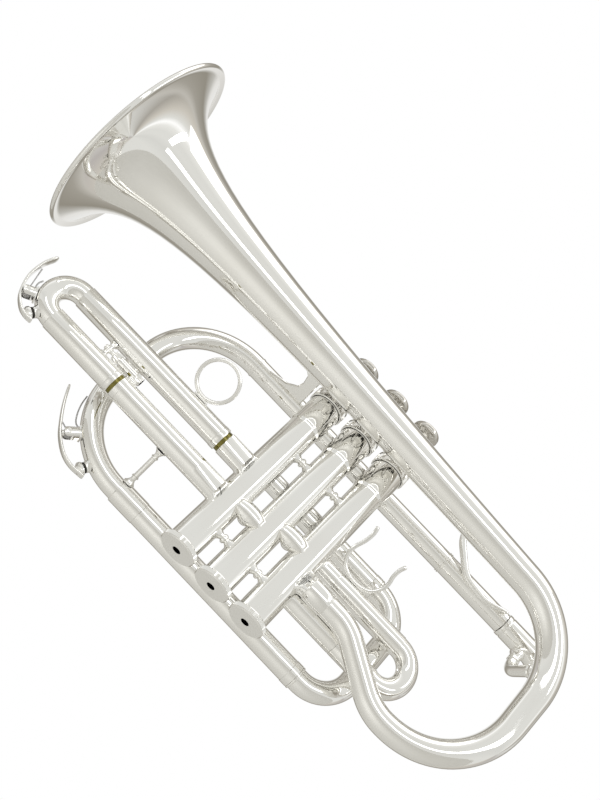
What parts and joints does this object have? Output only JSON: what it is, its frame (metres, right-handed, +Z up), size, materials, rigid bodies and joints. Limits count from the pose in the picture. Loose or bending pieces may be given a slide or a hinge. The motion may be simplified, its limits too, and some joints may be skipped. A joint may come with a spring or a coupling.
{
  "type": "cornet",
  "caption": "Silver-plated piston-valve cornet with flared bell, shepherd's crook, drawn tuning slides, finger ring, thumb saddle and sprung water keys.",
  "frame": {"origin": "centre of the base of the bounding box, at rest", "axes": "+X towards the mouthpiece, -X out of the bell; +Z up the valves to the finger buttons; +Y to the player's right"},
  "size_m": [0.3704, 0.144, 0.1999],
  "materials": {
    "silver_plate": "bright polished silver plate",
    "piston_alloy": "lapped nickel alloy",
    "guide_brass": "plain turned brass",
    "spring_steel": "drawn spring wire",
    "pearl": "polished pearl disc",
    "cork": "black water-key cork"
  },
  "bodies": {
    "instrument": {"bell": "silver_plate", "bell_brace": "silver_plate", "bottom_cap_1": "silver_plate", "bottom_cap_2": "silver_plate", "bottom_cap_3": "silver_plate", "bottom_pipe": "silver_plate", "bow_key_saddle": "silver_plate", "casing_1": "silver_plate", "casing_2": "silver_plate", "casing_3": "silver_plate", "casing_brace_12": "silver_plate", "casing_brace_23": "silver_plate", "crook": "silver_plate", "finger_hook": "silver_plate", "first_lower_sleeve": "silver_plate", "first_upper_stub": "silver_plate", "front_bow": "silver_plate", "knuckle_12": "silver_plate", "knuckle_23": "silver_plate", "leadpipe": "silver_plate", "mouthpiece_receiver": "silver_plate", "pipe_brace": "silver_plate", "receiver_brace": "silver_plate", "second_lower_sleeve": "silver_plate", "second_upper_sleeve": "silver_plate", "third_lower_sleeve": "silver_plate", "third_stop_barrel": "silver_plate", "third_upper_stub": "silver_plate", "top_cap_1": "silver_plate", "top_cap_2": "silver_plate", "top_cap_3": "silver_plate", "tuning_upper_sleeve": "silver_plate", "valve_guide_1": "guide_brass", "valve_guide_2": "guide_brass", "valve_guide_3": "guide_brass"},
    "main_slide": {"main_slide": "silver_plate"},
    "third_slide": {"third_slide": "silver_plate", "third_ring": "silver_plate", "third_stop_rod": "silver_plate", "third_key_saddle": "silver_plate"},
    "third_key": {"third_key_lever": "silver_plate", "third_key_cork": "cork"},
    "first_slide": {"first_slide": "silver_plate", "thumb_saddle": "silver_plate"},
    "second_slide": {"second_slide": "silver_plate"},
    "bow_key": {"bow_key_lever": "silver_plate", "bow_key_cork": "cork"},
    "piston_1": {"piston_1": "piston_alloy", "button_1": "silver_plate", "pearl_1": "pearl", "spring_1": "spring_steel"},
    "piston_2": {"piston_2": "piston_alloy", "button_2": "silver_plate", "pearl_2": "pearl", "spring_2": "spring_steel"},
    "piston_3": {"piston_3": "piston_alloy", "button_3": "silver_plate", "pearl_3": "pearl", "spring_3": "spring_steel"}
  },
  "joints": [
    {"name": "valve_1", "type": "slide", "parent": "instrument", "child": "piston_1", "axis": [0, 0, -1], "range_m": [0, 0.0165], "stiffness_N_per_m": 100, "springref_m": -0.02, "deforming": ["spring_1"]},
    {"name": "valve_2", "type": "slide", "parent": "instrument", "child": "piston_2", "axis": [0, 0, -1], "range_m": [0, 0.0165], "stiffness_N_per_m": 100, "springref_m": -0.02, "deforming": ["spring_2"]},
    {"name": "valve_3", "type": "slide", "parent": "instrument", "child": "piston_3", "axis": [0, 0, -1], "range_m": [0, 0.0165], "stiffness_N_per_m": 100, "springref_m": -0.02, "deforming": ["spring_3"]},
    {"name": "main_tuning_slide", "type": "slide", "parent": "instrument", "child": "main_slide", "axis": [1, 0, 0], "range_m": [0, 0.045]},
    {"name": "third_valve_slide", "type": "slide", "parent": "instrument", "child": "third_slide", "axis": [-1, 0, 0], "range_m": [-0.0018, 0.013]},
    {"name": "first_valve_slide", "type": "slide", "parent": "instrument", "child": "first_slide", "axis": [1, 0, 0], "range_m": [0, 0.024]},
    {"name": "second_valve_slide", "type": "slide", "parent": "instrument", "child": "second_slide", "axis": [0, 1, 0], "range_m": [0, 0.014]},
    {"name": "front_bow_key", "type": "hinge", "parent": "instrument", "child": "bow_key", "pos_m": [-0.09083, 0.03513, 0.0122], "axis": [0, 1, 0], "range_deg": [0, 12], "stiffness_Nm_per_rad": 0.05, "springref_deg": -17.19},
    {"name": "third_slide_key", "type": "hinge", "parent": "third_slide", "child": "third_key", "pos_m": [-0.15662, 0.00933, 0.03792], "axis": [0, 1, 0], "range_deg": [0, 14], "stiffness_Nm_per_rad": 0.05, "springref_deg": -17.19}
  ]
}
